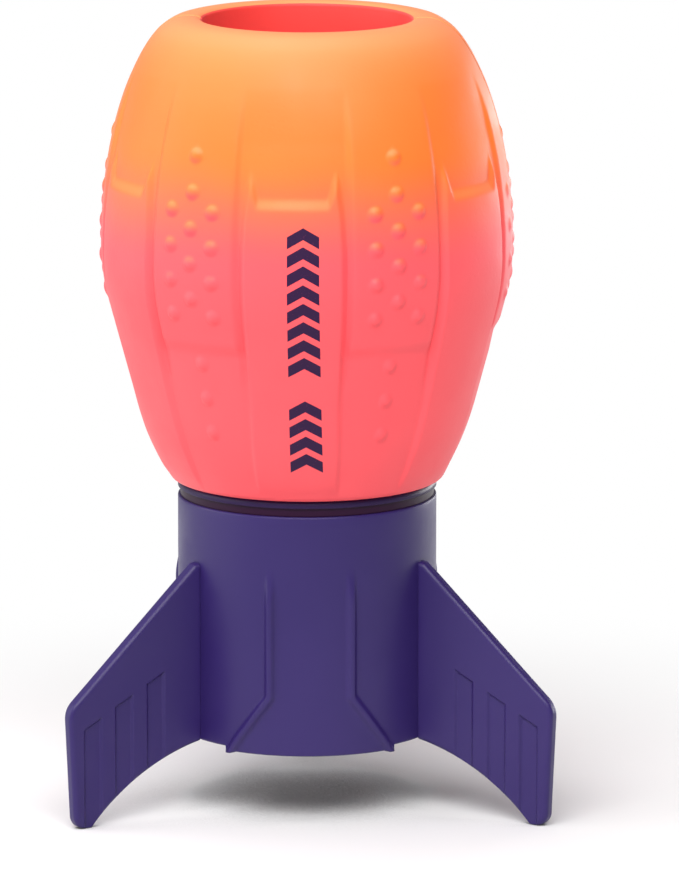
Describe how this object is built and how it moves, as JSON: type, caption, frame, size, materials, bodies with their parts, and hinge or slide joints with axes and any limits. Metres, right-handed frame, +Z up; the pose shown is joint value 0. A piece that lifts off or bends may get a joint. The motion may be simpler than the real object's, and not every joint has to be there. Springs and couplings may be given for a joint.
{
  "type": "finned foam throwing football",
  "caption": "Hollow foam throwing football with a bore right through it, raised grip panels and a plastic finned tail that it stands on.",
  "frame": {"origin": "on the axis of the bore, at the rear rim of the tail tube", "axes": "+Z up the bore axis towards the nose; the front of the toy faces -Y, with one fin straight behind it at +Y and the other two on either side of the front"},
  "size_m": [0.1404, 0.1395, 0.2285],
  "materials": {
    "foam": "soft satin polyurethane foam skin, coral pink with an orange nose",
    "sleeve_plastic": "satin moulded plastic, dark purple",
    "tail_plastic": "satin moulded plastic, dark purple"
  },
  "bodies": {
    "root": {"foam_body": "foam", "core_sleeve": "sleeve_plastic", "tail_tube": "tail_plastic", "fin_left": "tail_plastic", "fin_right": "tail_plastic", "fin_rear": "tail_plastic"}
  },
  "joints": []
}
